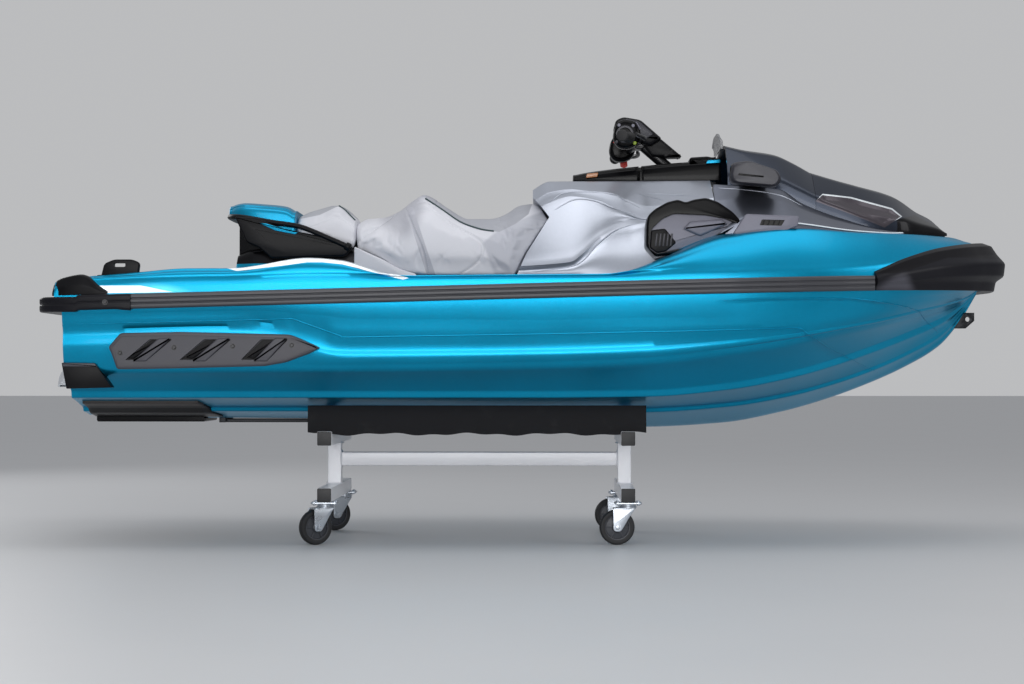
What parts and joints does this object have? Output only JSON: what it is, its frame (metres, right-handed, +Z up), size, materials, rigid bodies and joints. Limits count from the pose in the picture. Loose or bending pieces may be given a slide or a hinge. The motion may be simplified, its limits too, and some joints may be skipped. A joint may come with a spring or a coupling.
{
  "type": "personal watercraft on launching dolly",
  "caption": "Three-seat jet-driven personal watercraft resting on a wheeled launching dolly; handlebar, nozzle, reverse bucket, hood, lids, step and casters move.",
  "frame": {"origin": "on the floor under the centre of the overall box of craft and dolly", "axes": "+X to the bow, +Y to port, +Z up"},
  "size_m": [3.484, 1.2556, 1.55],
  "materials": {
    "hull_teal": "gloss gelcoat",
    "deck_teal": "gloss gelcoat",
    "rail_black": "satin moulded plastic",
    "trim_black": "satin moulded plastic",
    "console_silver": "metallic paint",
    "shroud_dark": "gloss moulded plastic",
    "hood_grey": "metallic paint",
    "seat_vinyl": "grained vinyl",
    "mat_rubber": "ribbed foam rubber",
    "pump_alloy": "cast",
    "impeller_steel": "machined",
    "bucket_grey": "satin",
    "bar_black": "satin",
    "grip_rubber": "moulded rubber",
    "display_glass": "gloss lens",
    "clear_screen": "clear polycarbonate",
    "engine_grey": "cast",
    "eye_steel": "polished",
    "lanyard_red": "satin",
    "frame_white": "powder coated",
    "bunk_black": "rubber pad",
    "cap_dark": "moulded plastic",
    "caster_zinc": "zinc plated",
    "caster_rubber": "solid rubber"
  },
  "bodies": {
    "craft": {"bow_bumper": "trim_black", "bow_eye": "eye_steel", "cargo_fixtures": "trim_black", "caster_plates": "caster_zinc", "console_cowl": "shroud_dark", "console_shroud": "console_silver", "deck": "deck_teal", "dolly_bunks": "bunk_black", "dolly_end_caps": "cap_dark", "dolly_lower_beams": "frame_white", "dolly_spine": "frame_white", "dolly_upper_beams": "frame_white", "engine_block": "engine_grey", "footwell_mats": "mat_rubber", "front_seat": "seat_vinyl", "gauge_display": "display_glass", "grab_rail": "rail_black", "hull": "hull_teal", "intake_grate": "pump_alloy", "jet_pump_housing": "pump_alloy", "platform_mat": "mat_rubber", "rear_seat": "seat_vinyl", "ride_plate": "trim_black", "side_panels": "console_silver", "side_rails": "rail_black", "side_vents": "trim_black", "speaker_pods": "shroud_dark", "sponsons": "trim_black", "step_brackets": "eye_steel", "stern_bumper": "rail_black", "stern_corner_caps": "trim_black", "stern_eyes": "eye_steel", "tail_cap": "deck_teal", "tail_core": "trim_black", "tail_side_panels": "trim_black"},
    "handlebar_group": {"handlebar": "bar_black", "handlebar_grips": "grip_rubber", "switch_housings": "trim_black", "control_levers": "bar_black", "column_cover": "trim_black", "lanyard_clip": "lanyard_red"},
    "nozzle": {"steering_nozzle": "pump_alloy"},
    "bucket": {"reverse_bucket": "bucket_grey"},
    "impeller_group": {"impeller": "impeller_steel"},
    "hood_group": {"hood": "hood_grey", "mirror_cowl": "shroud_dark", "mirrors": "shroud_dark", "wind_deflector": "clear_screen"},
    "glovebox_lid_group": {"glovebox_lid": "shroud_dark"},
    "step_group": {"boarding_step": "eye_steel"},
    "caster_stern_starboard": {"caster_fork_stern_starboard": "caster_zinc"},
    "wheel_stern_starboard": {"caster_wheel_stern_starboard": "caster_rubber"},
    "caster_stern_port": {"caster_fork_stern_port": "caster_zinc"},
    "wheel_stern_port": {"caster_wheel_stern_port": "caster_rubber"},
    "caster_bow_starboard": {"caster_fork_bow_starboard": "caster_zinc"},
    "wheel_bow_starboard": {"caster_wheel_bow_starboard": "caster_rubber"},
    "caster_bow_port": {"caster_fork_bow_port": "caster_zinc"},
    "wheel_bow_port": {"caster_wheel_bow_port": "caster_rubber"}
  },
  "joints": [
    {"name": "steering_turn", "type": "hinge", "parent": "craft", "child": "handlebar_group", "pos_m": [0.441, 0, 1.423], "axis": [-0.7572, 0, 0.6532], "range_deg": [-22, 22]},
    {"name": "nozzle_turn", "type": "hinge", "parent": "craft", "child": "nozzle", "pos_m": [-1.622, 0, 0.56], "axis": [0, 0, 1], "range_deg": [-22, 22]},
    {"name": "bucket_tilt", "type": "hinge", "parent": "craft", "child": "bucket", "pos_m": [-1.64, 0, 0.56], "axis": [0, -1, 0], "range_deg": [0, 75]},
    {"name": "impeller_spin", "type": "hinge", "parent": "craft", "child": "impeller_group", "pos_m": [-1.38, 0, 0.56], "axis": [1, 0, 0], "continuous": true},
    {"name": "hood_lift", "type": "hinge", "parent": "craft", "child": "hood_group", "pos_m": [1.5, 0, 1.111], "axis": [0, 1, 0], "range_deg": [0, 55]},
    {"name": "glovebox_lid_lift", "type": "hinge", "parent": "craft", "child": "glovebox_lid_group", "pos_m": [0.385, 0, 1.358], "axis": [0, 1, 0], "range_deg": [0, 40]},
    {"name": "step_fold", "type": "hinge", "parent": "craft", "child": "step_group", "pos_m": [-1.655, 0, 0.6], "axis": [0, -1, 0], "range_deg": [0, 150]},
    {"name": "swivel_stern_starboard", "type": "hinge", "parent": "craft", "child": "caster_stern_starboard", "pos_m": [-0.733, -0.345, 0.14], "axis": [0, 0, 1], "continuous": true},
    {"name": "roll_stern_starboard", "type": "hinge", "parent": "caster_stern_starboard", "child": "wheel_stern_starboard", "pos_m": [-0.76495, -0.36737, 0.0625], "axis": [-0.5736, 0.8192, 0], "continuous": true},
    {"name": "swivel_stern_port", "type": "hinge", "parent": "craft", "child": "caster_stern_port", "pos_m": [-0.733, 0.345, 0.14], "axis": [0, 0, 1], "continuous": true},
    {"name": "roll_stern_port", "type": "hinge", "parent": "caster_stern_port", "child": "wheel_stern_port", "pos_m": [-0.76677, 0.3255, 0.0625], "axis": [-0.5, 0.866, 0], "continuous": true},
    {"name": "swivel_bow_starboard", "type": "hinge", "parent": "craft", "child": "caster_bow_starboard", "pos_m": [0.339, -0.345, 0.14], "axis": [0, 0, 1], "continuous": true},
    {"name": "roll_bow_starboard", "type": "hinge", "parent": "caster_bow_starboard", "child": "wheel_bow_starboard", "pos_m": [0.30015, -0.3484, 0.0625], "axis": [-0.0872, 0.9962, 0], "continuous": true},
    {"name": "swivel_bow_port", "type": "hinge", "parent": "craft", "child": "caster_bow_port", "pos_m": [0.339, 0.345, 0.14], "axis": [0, 0, 1], "continuous": true},
    {"name": "roll_bow_port", "type": "hinge", "parent": "caster_bow_port", "child": "wheel_bow_port", "pos_m": [0.30038, 0.33957, 0.0625], "axis": [-0.1392, 0.9903, 0], "continuous": true}
  ],
  "couplings": [
    {"joint": "nozzle_turn", "follows": "steering_turn", "ratio": -1}
  ]
}
